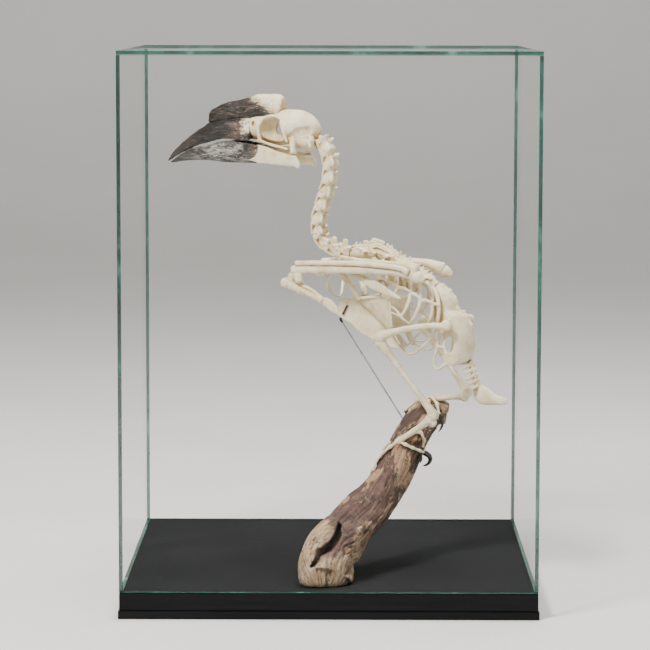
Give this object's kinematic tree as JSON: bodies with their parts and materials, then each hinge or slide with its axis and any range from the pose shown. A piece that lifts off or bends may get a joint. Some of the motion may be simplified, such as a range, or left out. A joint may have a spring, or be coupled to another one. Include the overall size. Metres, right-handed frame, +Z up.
{
  "type": "mounted hornbill skeleton",
  "caption": "Still, life-size hornbill skeleton perched on a driftwood branch, held by a thin rod, inside a square glass display case on a black base.",
  "frame": {"origin": "centre of the underside of the case's base", "axes": "+Z up; +X to the right and +Y away for a viewer at the case's front, where the bird's bill points to -X and slightly away"},
  "size_m": [0.35, 0.35, 0.47],
  "materials": {
    "bone": "dry matte bone",
    "beak": "dark horn sheath, dull",
    "casque": "streaked horn over bone, dull",
    "claw": "black horn",
    "driftwood": "weathered, unsealed",
    "glass": "clear, green edges",
    "base_board": "black, satin top and glossy edge",
    "steel": "grey rod",
    "clip": "black"
  },
  "bodies": {
    "root": {"back": "bone", "bill_lower": "beak", "bill_upper": "beak", "casque": "casque", "claw_left_1": "claw", "claw_left_2": "claw", "claw_left_3": "claw", "claw_left_4": "claw", "claw_right_1": "claw", "claw_right_2": "claw", "claw_right_3": "claw", "claw_right_4": "claw", "coracoid_left": "bone", "coracoid_right": "bone", "femur_left": "bone", "femur_right": "bone", "foot_left": "bone", "foot_right": "bone", "furcula": "bone", "hand_left": "bone", "hand_right": "bone", "humerus_left": "bone", "humerus_right": "bone", "mandible": "bone", "neck_lower": "bone", "neck_middle": "bone", "neck_upper": "bone", "pelvis": "bone", "pygostyle": "bone", "radius_left": "bone", "radius_right": "bone", "ribs_left": "bone", "ribs_right": "bone", "scapula_left": "bone", "scapula_right": "bone", "skull": "bone", "stand_base": "base_board", "stand_branch": "driftwood", "stand_clip": "clip", "stand_glass_back": "glass", "stand_glass_front": "glass", "stand_glass_left": "glass", "stand_glass_right": "glass", "stand_glass_top": "glass", "stand_rod": "steel", "sternum": "bone", "tail_vertebrae": "bone", "tarsometatarsus_left": "bone", "tarsometatarsus_right": "bone", "tibiotarsus_left": "bone", "tibiotarsus_right": "bone", "ulna_left": "bone", "ulna_right": "bone", "wrist_left": "bone", "wrist_right": "bone"}
  },
  "joints": []
}
